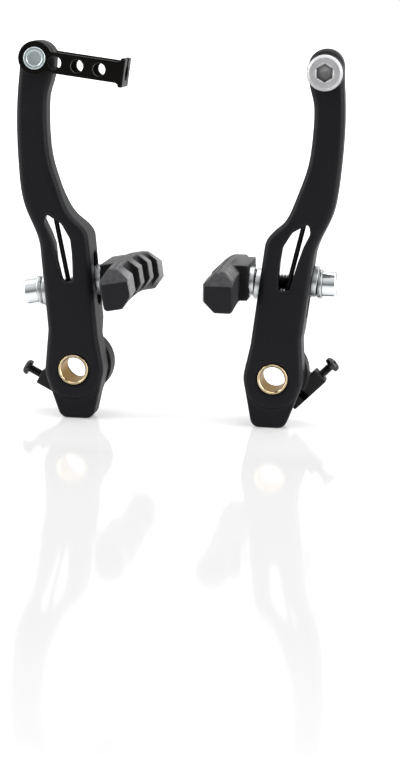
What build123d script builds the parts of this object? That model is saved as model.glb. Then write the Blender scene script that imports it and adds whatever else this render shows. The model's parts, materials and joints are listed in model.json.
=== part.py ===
from build123d import *
import math
import os

# Linear-pull (V) bicycle brake: two mirrored arms that stand apart.
# +X right, +Y to the back (towards the frame bosses), +Z up, millimetres.
# The origin is midway between the two pivot axes, on the plane of the backs of the hubs.
# One arm is drawn with its pivot at the origin: u outward, d back from its front face, w up.

# Arm
pivot_spacing = 66.2
hub_radius = 9.8
hub_depth = 12.0
tail_drop = 16.5
tail_depth = 10.5
tail_inner_foot = 6.6
tail_outer_foot = 4.2
tail_corner = 3.0
tail_step_drop = 7.4
tail_set_back = 1.2
wall_lean = 6.5
wall_offset = -0.75
arm_width = 16.4
arm_depth = 16.0
head_u = 13.9
head_w = 101.8
head_radius = 5.7
head_depth = 8.5
inner_wall_top = 42.6
outer_wall_top = 41.0
inner_wall_foot = 10.0
outer_wall_foot = 14.0
ramp_start = 44.0
ramp_end = 60.0
front_plate = 4.8
wall_thick = 3.0
channel_foot = 11.5
channel_foot_half = 5.0
channel_top = 57.5
channel_top_inner = 7.0
channel_top_outer = 12.7
channel_corner = 1.2
edge_round = 2.2
# Limb edges from wall to head: share of the straight way up, and how far outward of it
inner_bulges = [(0.136, 3.78), (0.300, 6.33), (0.469, 7.48), (0.638, 6.68), (0.819, 4.31)]
outer_bulges = [(0.221, 3.52), (0.434, 4.31), (0.643, 3.52), (0.835, 1.86)]
window_inner = [(1.2, 38.2), (1.9, 43.2), (4.9, 48.2)]
window_outer = [(10.3, 51.4), (10.7, 48.0), (8.6, 43.6), (6.8, 38.0)]
window_foot_half = 1.8
window_foot = 29.2
window_corner = 0.8

# Pivot bush
bush_bore_radius = 4.05
bush_wall = 0.95
bush_proud = 0.4
bush_running_gap = 0.05

# Spring holder, return spring and tension screw
holder_gap = 0.3
holder_depth = 8.2
holder_radius = 10.6
holder_bore_radius = 5.9
pocket_inner_radius = 6.85
pocket_outer_radius = 9.0
pocket_depth = 3.4
boss_pin_radius = 1.2
boss_pin_reach = 7.8
boss_pin_length = 3.5
wire_radius = 0.8
wire_room = 0.4
loop_radius = 7.9
loop_sweep = 158.4
loop_start = 1.5
tail_bend = 1.6
tail_round = 1.1
tail_length = 2.6
leg_rise = 11.6
leg_entry_u = -3.1
leg_run_foot = (1.3, 19.6)
leg_run_lean = 12.55
leg_stud_gap = 0.5
leg_past_pin = 2.4
leg_bend = 2.0
spring_pin_radius = 1.0
spring_pin_past_leg = 0.9
spring_pin_drop = 3.9
screw_angle = 36.0
screw_offset = 10.8
screw_radius = 1.5
screw_thread_gap = 0.05
screw_length = 11.0
screw_head_radius = 2.6
screw_head_height = 2.0
screw_head_reach = 14.4
cross_width = 0.8
cross_length = 2.8
cross_depth = 1.0
screw_depth_in_holder = 4.0
lug_reach = 10.2
lug_root = 4.0
lug_half = 2.6
lug_depth = 6.8

# Pad fixing stack, measured out from the middle of the arm along the stud
stud_set_in = 5.0
stud_radius = 3.0
slot_width = 6.8
slot_foot = 20.0
slot_top = 37.6
ball_radius = 7.0
ball_gap = 0.02
cup_radius = 5.2
cup_hole_radius = 4.0
cup_thickness = 1.9
cup_floor = 0.4
dome_radius = 4.8
dome_hole_gap = 0.1
outer_dome_base = 0.3
washer_radius = 4.9
washer_thickness = 0.9
nut_radius = 4.3
nut_length = 4.8
nut_chamfer = 0.5
nut_socket = 5.0
nut_socket_depth = 3.2
stud_end_set_back = 3.4

# Brake pad
pad_length = 70.0
pad_front_length = 25.5
pad_thickness = 9.8
pad_height = 13.2
pad_face_corner = 3.8
pad_back_corner = 3.2
pad_back_foot = 0.8
pad_rim_radius = 290.0
pad_end_chamfer = 0.5
nose_drop = 4.4
nose_run = 3.6
pad_block_front = 6.0
pad_block_length = 24.0
pad_block_height = 11.8
pad_block_proud = 2.6
recess_count = 3
recess_length = 12.0
recess_depth = 3.0
land_length = 7.0
pad_line_inset = 4.6
pad_line_width = 0.7
pad_line_depth = 0.5
stud_plate_thickness = 1.6
stud_plate_length = 30.0
stud_plate_height = 8.0
stud_plate_cover = 4.2

# How each side is set in the photograph
stud_heights = {"left": 26.9, "right": 30.8}
stud_tilts = {"left": 4.5, "right": -6.5}
inner_dome_bases = {"left": 0.3, "right": 1.7}
holder_turns = {"left": -9.0, "right": 9.0}

# Cable link and its rivet, on the left arm
link_plate = 1.5
link_side_gap = 0.3
link_height = 6.9
link_eye_radius = 5.6
link_slope = 6.7
link_drop = 0.6
link_hole_radius = 2.1
link_hole_first = 6.6
link_hole_pitch = 7.3
link_hole_count = 3
link_length = 29.4
link_end_height = 9.4
link_end_tab = 2.4
noodle_seat_radius = 2.6
noodle_slot = 2.4
link_pin_radius = 2.5
link_pin_gap = 0.05
link_pin_head_radius = 3.65
link_pin_head_height = 1.1
link_pin_dish_radius = 2.65
link_pin_dish = 0.35

# Cable anchor, on the right arm, a little below the middle of the head
anchor_drop = 1.8
anchor_plate_radius = 6.0
anchor_plate_thickness = 1.8
anchor_plate_groove = 0.8
anchor_head_radius = 5.75
anchor_head_height = 2.6
anchor_head_chamfer = 0.8
anchor_socket = 5.0
anchor_socket_depth = 2.4
anchor_shank_radius = 3.0
anchor_shank_length = 7.6

# How far a cut runs past the face that it starts from
cut_past = 1.0

lean = math.radians(wall_lean)
half_width = arm_width / 2
ball_centre = cup_floor + ball_radius
stud_depth = arm_depth - stud_set_in
leg_run_depth = stud_depth - stud_radius - leg_stud_gap - wire_radius
head_left = (head_u - head_radius, head_w)
head_right = (head_u + head_radius, head_w)
anchor_w = head_w - anchor_drop


def layer(sketch, start, end):
    """A front-view sketch made solid between two depths behind the front face."""
    return extrude(Plane.XZ.offset(-start) * sketch, amount=-(end - start))


def wall_point(out, up):
    """A front-view point given square to the pad walls: out from the middle, up along them."""
    u = wall_offset + out * math.cos(lean) + up * math.sin(lean)
    w = up * math.cos(lean) - out * math.sin(lean)
    return (u, w)


def rod(radius, start, end, u=0.0, w=0.0):
    """A round rod along the depth direction between two depths."""
    return layer(Pos(u, w) * Circle(radius), start, end)


def hub_touch(point, side):
    """Where a straight line from a front-view point touches the hub circle."""
    reach = math.hypot(point[0], point[1])
    angle = math.atan2(point[1], point[0]) + side * math.acos(hub_radius / reach)
    return (hub_radius * math.cos(angle), hub_radius * math.sin(angle))


def hub_between(first, second):
    """The point of the hub circle halfway between two others."""
    reach = math.hypot(first[0] + second[0], first[1] + second[1])
    return (hub_radius * (first[0] + second[0]) / reach, hub_radius * (first[1] + second[1]) / reach)


def limb_edge(start, end, bulges):
    """Points of a limb edge between two front-view points."""
    run_u = end[0] - start[0]
    run_w = end[1] - start[1]
    run = math.hypot(run_u, run_w)
    points = []
    for share, bulge in bulges:
        u = start[0] + share * run_u + bulge * run_w / run
        w = start[1] + share * run_w - bulge * run_u / run
        points.append((u, w))
    return points


def inner_edge():
    """Points of the inner limb edge, from the wall up."""
    return limb_edge(wall_point(-half_width, inner_wall_top), head_left, inner_bulges)


def outer_edge():
    """Points of the outer limb edge, from the wall up."""
    return limb_edge(wall_point(half_width, outer_wall_top), head_right, outer_bulges)


def arm_outline():
    """Front view of the whole arm: hub, tail, straight pad walls, curved limb and round head."""
    inner_foot = wall_point(-half_width, inner_wall_foot)
    inner_top = wall_point(-half_width, inner_wall_top)
    outer_foot = wall_point(half_width, outer_wall_foot)
    outer_top = wall_point(half_width, outer_wall_top)
    tail_inner = (-tail_inner_foot, -tail_drop)
    tail_outer = (tail_outer_foot, -tail_drop)
    wall_up = (math.sin(lean), math.cos(lean))
    wall_down = (-wall_up[0], -wall_up[1])
    head_top = (head_u, head_w + head_radius)
    hub_in_high = hub_touch(inner_foot, 1)
    hub_out_high = hub_touch(outer_foot, -1)
    hub_out_low = hub_touch(tail_outer, 1)
    hub_in_low = hub_touch(tail_inner, -1)
    edges = [
        Line(hub_in_high, inner_foot),
        Line(inner_foot, inner_top),
        Spline([inner_top] + inner_edge() + [head_left], tangents=[wall_up, (0, 1)]),
        ThreePointArc(head_left, head_top, head_right),
        Spline([head_right] + outer_edge()[::-1] + [outer_top], tangents=[(0, -1), wall_down]),
        Line(outer_top, outer_foot),
        Line(outer_foot, hub_out_high),
        ThreePointArc(hub_out_high, hub_between(hub_out_high, hub_out_low), hub_out_low),
        Line(hub_out_low, tail_outer),
        Line(tail_outer, tail_inner),
        Line(tail_inner, hub_in_low),
        ThreePointArc(hub_in_low, hub_between(hub_in_low, hub_in_high), hub_in_high),
    ]
    shape = make_face(edges)
    return fillet(shape.vertices().sort_by(Axis.Y)[:2], tail_corner)


def channel_outline():
    """The spring channel at the back of the arm, between the pad walls."""
    side = half_width - wall_thick
    inner_u, inner_w = inner_edge()[0]
    outer_u, outer_w = outer_edge()[0]
    points = [
        (-channel_foot_half, channel_foot),
        wall_point(-side, inner_wall_top),
        (inner_u + wall_thick, inner_w),
        (channel_top_inner, channel_top),
        (channel_top_outer, channel_top),
        (outer_u - wall_thick, outer_w),
        wall_point(side, outer_wall_top),
        wall_point(side, outer_wall_foot),
        (channel_foot_half, channel_foot),
    ]
    shape = make_face(Polyline(points, close=True))
    return fillet(shape.vertices(), channel_corner)


def window_outline():
    """The open window in the front plate, wide at the top and narrow at the foot."""
    foot = wall_point(0, window_foot)
    foot_inner = (foot[0] - window_foot_half, foot[1])
    foot_outer = (foot[0] + window_foot_half, foot[1])
    points = [foot_inner] + window_inner + window_outer + [foot_outer]
    shape = make_face(Polyline(points, close=True))
    return fillet(shape.vertices(), window_corner)


def slot_outline():
    """Side view of the slot that the pad stud is set in."""
    middle = (slot_foot + slot_top) / 2
    return Pos(stud_depth, middle) * SlotOverall(slot_top - slot_foot, slot_width, rotation=90)


def side_outline():
    """Side view: how deep the arm is at each height."""
    points = [
        (0, -tail_drop),
        (tail_depth, -tail_drop),
        (tail_depth, -tail_step_drop),
        (hub_depth, -tail_step_drop),
        (hub_depth, channel_foot),
        (arm_depth, channel_foot + arm_depth - hub_depth),
        (arm_depth, ramp_start),
        (head_depth, ramp_end),
        (head_depth, head_w + head_radius),
        (0, head_w + head_radius),
    ]
    return make_face(Polyline(points, close=True))


def make_arm(head_hole_radius, head_hole_w):
    """One arm in its own frame."""
    blank = layer(arm_outline(), 0, arm_depth)
    blank = fillet(blank.faces().sort_by(Axis.Y)[0].edges(), edge_round)
    blank = blank & extrude(Plane.YZ * side_outline(), amount=pivot_spacing, both=True)
    tail_front = layer(Pos(0, -tail_drop) * Rectangle(pivot_spacing, 2 * tail_drop), -cut_past, tail_set_back)
    blank = blank - (tail_front - rod(hub_radius, -cut_past, tail_set_back))
    wall_plane = Plane((wall_offset, 0, 0), x_dir=(0, 1, 0), z_dir=(math.cos(lean), 0, -math.sin(lean)))
    slot = extrude(wall_plane * slot_outline(), amount=arm_width, both=True)
    channel = layer(channel_outline(), front_plate, arm_depth + cut_past)
    window = layer(window_outline(), -cut_past, front_plate + cut_past)
    bush_hole = rod(bush_bore_radius + bush_wall + bush_running_gap, -cut_past, hub_depth + cut_past)
    head_hole = rod(head_hole_radius, -cut_past, head_depth + cut_past, head_u, head_hole_w)
    pin_u, pin_w = spring_pin_place()
    pin_hole = rod(spring_pin_radius, front_plate / 2, front_plate + cut_past, pin_u, pin_w)
    return blank - slot - channel - window - bush_hole - head_hole - pin_hole - leg_way()


def leg_way():
    """Room for the straight run of the spring leg, cut where the front plate comes near it."""
    end_u, end_w = leg_end()
    end = Vector(end_u, leg_run_depth, end_w)
    run = end - Vector(leg_run_foot[0], leg_run_depth, leg_run_foot[1])
    length = run.length + leg_bend
    middle = Plane(end - run.normalized() * length / 2, z_dir=run)
    return middle * Cylinder(wire_radius + wire_room, length)


def make_bush():
    """Gold bush that the arm turns on."""
    end = hub_depth + bush_proud / 2
    sleeve = rod(bush_bore_radius + bush_wall, -bush_proud, end)
    return sleeve - rod(bush_bore_radius, -bush_proud - cut_past, end + cut_past)


def screw_plane(reach):
    """Plane square to the tension screw, a given way out along it."""
    angle = math.radians(screw_angle)
    along = (math.cos(angle), 0, math.sin(angle))
    depth = hub_depth + holder_gap + screw_depth_in_holder
    u = reach * along[0] + screw_offset * math.sin(angle)
    w = reach * along[2] - screw_offset * math.cos(angle)
    return Plane((u, depth, w), x_dir=(0, 1, 0), z_dir=along)


def loop_begin_angle():
    """Where round the pivot the spring leg meets the loop, in degrees."""
    reach = math.hypot(leg_entry_u, leg_rise)
    return math.degrees(math.atan2(leg_rise, leg_entry_u) + math.acos(loop_radius / reach))


def loop_end_angle():
    """Where round the pivot the loop ends in the tail, in degrees."""
    return loop_begin_angle() + loop_sweep


def make_holder(turn):
    """Plastic spring holder, set at an angle: a cup round the boss, a lug for the tension screw."""
    front = hub_depth + holder_gap
    back = front + holder_depth
    body = rod(holder_radius, front, back)
    lug_middle = screw_plane((lug_reach - lug_root) / 2)
    body = body + lug_middle * Box(lug_depth, 2 * lug_half, lug_reach + lug_root)
    pocket = rod(pocket_outer_radius, front - cut_past, front + pocket_depth)
    pocket = pocket - rod(pocket_inner_radius, front - cut_past, front + pocket_depth)
    wire_back = front + loop_start + wire_radius + wire_room
    wire_deep = wire_back - front + cut_past
    wire_middle = wire_back - wire_deep / 2
    wire_wide = 2 * wire_radius + 2 * wire_room
    leg_way = Pos(loop_radius, wire_middle, -loop_radius / 2) * Box(wire_wide, wire_deep, 2 * loop_radius)
    leg_way = Rot(0, turn - loop_begin_angle(), 0) * leg_way
    tail_way = Pos(loop_radius + tail_length, wire_middle, 0) * Box(2 * tail_length, wire_deep, wire_wide)
    tail_way = Rot(0, -loop_end_angle(), 0) * tail_way
    thread = lug_middle * Cylinder(screw_radius + screw_thread_gap, lug_reach + lug_root + cut_past)
    bore = rod(holder_bore_radius, front - cut_past, back + cut_past)
    boss_pin = rod(boss_pin_radius, back, back + boss_pin_length, 0, -boss_pin_reach)
    body = body - pocket - leg_way - tail_way - thread - bore + boss_pin
    return Rot(0, -turn, 0) * body


def make_screw():
    """Tension screw with a cross-cut head."""
    head = screw_plane(screw_head_reach) * Pos(0, 0, screw_head_height / 2)
    body = head * Cylinder(screw_head_radius, screw_head_height)
    shank = screw_plane(screw_head_reach) * Pos(0, 0, -screw_length / 2)
    body = body + shank * Cylinder(screw_radius, screw_length)
    top = screw_plane(screw_head_reach + screw_head_height)
    body = body - top * Box(cross_width, cross_length, 2 * cross_depth)
    return body - top * Box(cross_length, cross_width, 2 * cross_depth)


def make_spring(turn):
    """Return spring, one bent wire: leg up the channel, loop round the boss, short tail at the screw."""
    loop_depth = hub_depth + holder_gap + loop_start
    begin = math.radians(loop_begin_angle())
    finish = math.radians(loop_end_angle() + turn) - tail_bend / loop_radius
    halfway = (begin + finish) / 2

    def on_loop(angle):
        return Vector(loop_radius * math.cos(angle), loop_depth, loop_radius * math.sin(angle))

    end_u, end_w = leg_end()
    onward = Vector(-math.sin(finish), 0, math.cos(finish))
    knee = on_loop(finish) + onward * tail_bend
    tip = knee + Vector(knee.X, 0, knee.Z).normalized() * tail_length
    leg = FilletPolyline(
        (end_u, leg_run_depth, end_w),
        (leg_run_foot[0], leg_run_depth, leg_run_foot[1]),
        (leg_entry_u, loop_depth, leg_rise),
        on_loop(begin),
        radius=leg_bend,
    )
    loop = ThreePointArc(on_loop(begin), on_loop(halfway), on_loop(finish))
    tail = FilletPolyline(on_loop(finish), knee, tip, radius=tail_round)
    path = Wire(leg.edges() + loop.edges() + tail.edges())
    return sweep(Plane(leg @ 0, z_dir=leg % 0) * Circle(wire_radius), path=path)


def leg_point(w):
    """Front-view point of the spring leg at a height."""
    return (leg_run_foot[0] + (w - leg_run_foot[1]) * math.tan(math.radians(leg_run_lean)), w)


def leg_end():
    """Front-view point where the spring leg ends, a little above its pin."""
    return leg_point(channel_top - spring_pin_drop + leg_past_pin)


def spring_pin_place():
    """Front-view place of the pin that the spring leg presses on, just outside the leg."""
    leg_u, leg_w = leg_point(channel_top - spring_pin_drop)
    clear = wire_radius + spring_pin_radius
    angle = math.radians(leg_run_lean)
    return (leg_u + clear * math.cos(angle), leg_w - clear * math.sin(angle))


def make_spring_pin():
    """Steel pin pressed into the back of the front plate."""
    pin_u, pin_w = spring_pin_place()
    end = leg_run_depth + wire_radius + spring_pin_past_leg
    return rod(spring_pin_radius, front_plate / 2, end, pin_u, pin_w)


def cap(radius, thickness, hole_radius):
    """A flat round washer on +Z from zero."""
    ring = Pos(0, 0, thickness / 2) * Cylinder(radius, thickness)
    return ring - Cylinder(hole_radius, 4 * thickness)


def make_cup():
    """Cup washer that lies on a pad wall, open towards +Z."""
    ball = Pos(0, 0, cup_floor + ball_radius) * Sphere(ball_radius + ball_gap)
    return cap(cup_radius, cup_thickness, cup_hole_radius) - ball


def make_dome(base):
    """Domed washer: ball side to -Z with its apex at the cup floor, flat side to +Z."""
    sag = ball_radius - math.sqrt(ball_radius**2 - dome_radius**2)
    height = sag + base
    body = Pos(0, 0, cup_floor + height / 2) * Cylinder(dome_radius, height)
    ball_end = Pos(0, 0, cup_floor + ball_radius) * Sphere(ball_radius)
    rim = Pos(0, 0, cup_floor + sag + height / 2) * Cylinder(dome_radius, height)
    body = body & (ball_end + rim)
    return body - Cylinder(stud_radius + dome_hole_gap, 4 * (cup_floor + height))


def dome_top(base):
    """How far the flat side of a dome stands off the pad wall, along the stud."""
    return cup_floor + ball_radius - math.sqrt(ball_radius**2 - dome_radius**2) + base


def hexagon_cut(across_flats, depth):
    """A hexagon socket that goes down from zero."""
    hexagon = RegularPolygon(across_flats / 2, 6, major_radius=False)
    return extrude(hexagon, amount=-depth)


def make_nut():
    """Round pad nut with a hexagon socket, standing on +Z from zero."""
    body = Pos(0, 0, nut_length / 2) * Cylinder(nut_radius, nut_length)
    body = chamfer(body.edges().sort_by(Axis.Z)[-1], nut_chamfer)
    body = body - Pos(0, 0, nut_length) * hexagon_cut(nut_socket, nut_socket_depth)
    return body - Cylinder(stud_radius, 2 * nut_length)


def pad_section():
    """End view of the pad: braking face at zero, back at plus thickness, eight-sided."""
    half = pad_height / 2
    back = pad_thickness
    points = [
        (0, -half + pad_face_corner),
        (pad_face_corner, -half),
        (back - pad_back_foot, -half),
        (back, -half + pad_back_foot),
        (back, half - pad_back_corner),
        (back - pad_back_corner, half),
        (pad_face_corner, half),
        (0, half - pad_face_corner),
    ]
    return make_face(Polyline(points, close=True))


def pad_nose(run):
    """What is cut off the top of a pad end to slope it: the end is at Y zero, the pad on the run's side."""
    top = pad_height / 2
    slope = make_face(Polyline((0, top), (0, top - nose_drop), (run, top), close=True))
    return extrude(Plane.YZ * slope, amount=2 * pad_thickness, both=True)


def make_pad():
    """Rubber pad in the stud frame: X out along the stud with the back at zero, Y back, Z up."""
    wheel = Axis((0, 0, -pad_rim_radius), (1, 0, 0))
    face = -pad_thickness - pad_block_proud

    def round_wheel(shape, along):
        return shape.rotate(wheel, math.degrees((pad_front_length - along) / pad_rim_radius))

    whole = math.degrees(pad_length / pad_rim_radius)
    body = round_wheel(revolve(Plane.XZ * Pos(face, 0) * pad_section(), wheel, whole), pad_length)
    ends = body.faces().sort_by(Axis.Y)[0].edges() + body.faces().sort_by(Axis.Y)[-1].edges()
    body = chamfer(ends, pad_end_chamfer)
    line = Pos(face + pad_line_inset, pad_height / 2) * Rectangle(pad_line_width, 2 * pad_line_depth)
    body = body - round_wheel(revolve(Plane.XZ * line, wheel, whole), pad_length)
    body = body - round_wheel(pad_nose(nose_run), 0) - round_wheel(pad_nose(-nose_run), pad_length)
    end_land = (pad_length - recess_count * recess_length - (recess_count - 1) * land_length) / 2
    recess = Pos(face, 0, 0) * Box(2 * recess_depth, recess_length, 2 * pad_height)
    for number in range(recess_count):
        along = end_land + recess_length / 2 + number * (recess_length + land_length)
        body = body - round_wheel(recess, along)
    block_depth = pad_back_corner + pad_block_proud
    block_middle = Pos(-block_depth / 2, pad_block_length / 2 - pad_block_front, 0)
    return body + block_middle * Box(block_depth, pad_block_length, pad_block_height)


def stack_reach(tilt, base):
    """From the middle of the arm along the stud to the flat side of a dome."""
    ball = (half_width + ball_centre) / math.cos(math.radians(tilt))
    return ball + dome_top(base) - ball_centre


def make_stud(length):
    """Stud with the plate that is moulded into the pad; X out along the stud, pad back at zero."""
    plate_place = Pos(-stud_plate_cover - stud_plate_thickness / 2, 0, 0)
    plate = plate_place * Box(stud_plate_thickness, stud_plate_length, stud_plate_height)
    shank = Pos((length - stud_plate_cover) / 2, 0, 0) * Rot(0, 90, 0)
    return plate + shank * Cylinder(stud_radius, length + stud_plate_cover)


def make_fixing(side):
    """The pad, its stud and the washers and nut that clamp it in the slot of the arm."""
    tilt = stud_tilts[side]
    slope = math.radians(wall_lean + tilt)
    middle_u, middle_w = wall_point(0, stud_heights[side])
    middle = Vector(middle_u, stud_depth, middle_w)
    out = Vector(math.cos(slope), 0, -math.sin(slope))
    up = Vector(math.sin(slope), 0, math.cos(slope))
    square = Vector(math.cos(lean), 0, -math.sin(lean))
    ball = (half_width + ball_centre) / math.cos(math.radians(tilt))
    inner_base = inner_dome_bases[side]
    inner = stack_reach(tilt, inner_base)
    outer = stack_reach(tilt, outer_dome_base)
    stud_length = inner + outer + washer_thickness + nut_length - stud_end_set_back
    pad_plane = Plane(middle - out * inner, x_dir=out, z_dir=up)
    stud = make_stud(stud_length)
    return {
        "brake_pad": pad_plane * (make_pad() - stud),
        "pad_stud": pad_plane * stud,
        "inner_dome": Plane(middle - out * (ball - ball_centre), z_dir=-out) * make_dome(inner_base),
        "inner_cup": Plane(middle - out * ball + square * ball_centre, z_dir=-square) * make_cup(),
        "outer_dome": Plane(middle + out * (ball - ball_centre), z_dir=out) * make_dome(outer_dome_base),
        "outer_cup": Plane(middle + out * ball - square * ball_centre, z_dir=square) * make_cup(),
        "flat_washer": Plane(middle + out * outer, z_dir=out) * make_washer(),
        "pad_nut": Plane(middle + out * (outer + washer_thickness), x_dir=up, z_dir=out) * make_nut(),
    }


def make_washer():
    """Flat washer under the pad nut."""
    return cap(washer_radius, washer_thickness, stud_radius + dome_hole_gap)


def link_outline():
    """Side plate of the cable link, seen from the front, with the rivet at zero."""
    half = link_height / 2
    end_half = link_end_height / 2
    points = [
        (0, half),
        (link_end_tab - link_length, half),
        (-link_length, end_half),
        (-link_length, -end_half),
        (link_end_tab - link_length, -half),
        (0, -half),
    ]
    shape = Pos(0, -link_drop) * make_face(Polyline(points, close=True)) + Circle(link_eye_radius)
    for number in range(link_hole_count):
        along = -link_hole_first - number * link_hole_pitch
        shape = shape - Pos(along, -link_drop) * Circle(link_hole_radius)
    return shape - Circle(link_pin_radius)


def make_link():
    """Folded cable link: two side plates joined by the end plate that holds the cable pipe."""
    front = -link_side_gap - link_plate
    back = head_depth + link_side_gap
    side_plate = Pos(head_u, head_w) * Rot(0, 0, link_slope) * link_outline()
    body = layer(side_plate, front, front + link_plate) + layer(side_plate, back, back + link_plate)
    end = Pos(link_plate / 2 - link_length, -link_drop) * Rectangle(link_plate, link_end_height)
    end_plate = layer(Pos(head_u, head_w) * Rot(0, 0, link_slope) * end, front, back + link_plate)
    centre = (front + back + link_plate) / 2
    slope = math.radians(link_slope)
    away = Vector(-math.cos(slope), 0, -math.sin(slope))
    over = Vector(-math.sin(slope), 0, math.cos(slope))
    seat_point = Vector(head_u, centre, head_w) + away * (link_length - link_plate / 2) - over * link_drop
    seat_plane = Plane(seat_point, x_dir=over, z_dir=away)
    seat = seat_plane * Cylinder(noodle_seat_radius, 4 * link_plate)
    gap = seat_plane * Pos(link_end_height / 2, 0, 0) * Box(link_end_height, noodle_slot, 4 * link_plate)
    return body + end_plate - seat - gap


def make_link_pin():
    """Rivet that the link turns on, with a dished front head."""
    front = -link_side_gap - link_plate
    back = head_depth + link_side_gap + link_plate
    body = rod(link_pin_radius, front, back, head_u, head_w)
    body = body + rod(link_pin_head_radius, front - link_pin_head_height, front, head_u, head_w)
    body = body + rod(link_pin_head_radius, back, back + link_pin_head_height, head_u, head_w)
    top = front - link_pin_head_height
    return body - rod(link_pin_dish_radius, top, top + link_pin_dish, head_u, head_w)


def make_anchor_plate():
    """Pressed plate that clamps the cable against the arm."""
    body = rod(anchor_plate_radius, -anchor_plate_thickness, 0, head_u, anchor_w)
    body = body - rod(anchor_shank_radius, -anchor_plate_thickness, 0, head_u, anchor_w)
    groove = Pos(head_u - anchor_shank_radius - anchor_plate_groove, 0, anchor_w)
    return body - groove * Cylinder(anchor_plate_groove, 4 * anchor_plate_radius)


def make_anchor_bolt():
    """Cable anchor bolt with a wide round head and a hexagon socket."""
    seat = -anchor_plate_thickness
    head = Plane((head_u, seat, anchor_w), x_dir=(1, 0, 0), z_dir=(0, -1, 0))
    disc = Pos(0, 0, anchor_head_height / 2) * Cylinder(anchor_head_radius, anchor_head_height)
    disc = chamfer(disc.edges().sort_by(Axis.Z)[-1], anchor_head_chamfer)
    disc = disc - Pos(0, 0, anchor_head_height) * hexagon_cut(anchor_socket, anchor_socket_depth)
    return head * disc + rod(anchor_shank_radius, seat, anchor_shank_length, head_u, anchor_w)


def make_side(side):
    """Every piece of one side, in the frame of its own arm."""
    turn = holder_turns[side]
    head_hole_radius = anchor_shank_radius
    head_hole_w = anchor_w
    if side == "left":
        head_hole_radius = link_pin_radius + link_pin_gap
        head_hole_w = head_w
    pieces = {
        "arm": make_arm(head_hole_radius, head_hole_w),
        "pivot_bush": make_bush(),
        "spring_holder": make_holder(turn),
        "tension_screw": Rot(0, -turn, 0) * make_screw(),
        "return_spring": make_spring(turn),
        "spring_pin": make_spring_pin(),
    }
    pieces.update(make_fixing(side))
    if side == "left":
        pieces["cable_link"] = make_link()
        pieces["link_pin"] = make_link_pin()
    else:
        pieces["anchor_plate"] = make_anchor_plate()
        pieces["anchor_bolt"] = make_anchor_bolt()
    return pieces


os.makedirs("parts", exist_ok=True)
for side in ("left", "right"):
    for name, shape in make_side(side).items():
        if side == "left":
            shape = Pos(-pivot_spacing / 2, -hub_depth, 0) * mirror(shape, about=Plane.YZ)
        else:
            shape = Pos(pivot_spacing / 2, -hub_depth, 0) * shape
        export_step(shape, f"parts/{side}_{name}.step")
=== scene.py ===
import bmesh
import bpy
import json
import math
from mathutils import Matrix, Vector


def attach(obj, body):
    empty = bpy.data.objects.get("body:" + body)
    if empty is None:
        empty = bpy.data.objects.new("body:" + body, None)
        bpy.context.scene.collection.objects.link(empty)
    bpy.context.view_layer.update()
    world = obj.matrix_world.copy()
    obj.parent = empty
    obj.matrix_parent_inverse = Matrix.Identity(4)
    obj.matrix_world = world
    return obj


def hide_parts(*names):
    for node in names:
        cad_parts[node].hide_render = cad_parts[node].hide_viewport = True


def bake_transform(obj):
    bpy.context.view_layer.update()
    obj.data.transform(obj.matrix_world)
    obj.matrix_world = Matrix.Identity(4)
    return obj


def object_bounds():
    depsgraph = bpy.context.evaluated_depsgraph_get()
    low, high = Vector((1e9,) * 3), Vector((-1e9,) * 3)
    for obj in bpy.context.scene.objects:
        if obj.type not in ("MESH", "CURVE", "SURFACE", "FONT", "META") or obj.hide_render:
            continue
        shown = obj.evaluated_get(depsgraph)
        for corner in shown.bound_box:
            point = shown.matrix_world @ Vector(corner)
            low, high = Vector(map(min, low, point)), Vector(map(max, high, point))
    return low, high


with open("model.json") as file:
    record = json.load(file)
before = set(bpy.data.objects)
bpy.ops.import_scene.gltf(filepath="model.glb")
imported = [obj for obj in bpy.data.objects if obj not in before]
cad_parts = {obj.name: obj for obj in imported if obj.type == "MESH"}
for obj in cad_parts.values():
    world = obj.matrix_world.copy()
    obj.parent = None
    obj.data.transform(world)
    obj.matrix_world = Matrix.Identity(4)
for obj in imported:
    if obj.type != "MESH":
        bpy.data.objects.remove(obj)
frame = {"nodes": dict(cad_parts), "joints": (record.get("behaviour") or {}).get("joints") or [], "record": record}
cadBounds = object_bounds()
nodes = frame["nodes"]
joints = {joint["name"]: joint for joint in frame["joints"]}
sides = ("left", "right")
outward = {"left": -1, "right": 1}
mm = 0.001
arm = {"pivot": 33.1 * mm, "hubDepth": 12.0 * mm}
print("frame loaded,", len(nodes), "nodes")


# places read from the frame

def surfaceMiddle(nodeName):
    mesh = nodes[nodeName].data
    whole = sum(face.area for face in mesh.polygons)
    return sum((face.center * face.area for face in mesh.polygons), Vector()) / whole


def studAxisOf(side):  # outward along the pad stud
    return (surfaceMiddle(side + "_pad_nut") - surfaceMiddle(side + "_inner_dome")).normalized()


def brakingFace(side):  # the way that the braking face looks, and how far out along it the face lies
    way = -studAxisOf(side)
    reach = max(way.dot(vertex.co) for vertex in nodes[side + "_brake_pad"].data.vertices)
    return {"Way X": way.x, "Way Y": way.y, "Way Z": way.z, "Face": reach}


# node helpers

def addNode(tree, kind, values=None, **settings):
    node = tree.nodes.new(kind)
    for name, value in settings.items():
        setattr(node, name, value)
    for name, value in (values or {}).items():
        if hasattr(value, "is_output"):
            tree.links.new(value, node.inputs[name])
        else:
            node.inputs[name].default_value = value
    return node


def socketOf(sockets, identifier):
    return next(socket for socket in sockets if socket.identifier == identifier)


def mixColours(tree, share, first, second):
    node = addNode(tree, "ShaderNodeMix", data_type="RGBA")
    tree.links.new(share, socketOf(node.inputs, "Factor_Float"))
    for identifier, colour in (("A_Color", first), ("B_Color", second)):
        target = socketOf(node.inputs, identifier)
        if hasattr(colour, "is_output"):
            tree.links.new(colour, target)
        else:
            target.default_value = (*colour, 1)
    return socketOf(node.outputs, "Result_Color")


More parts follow.
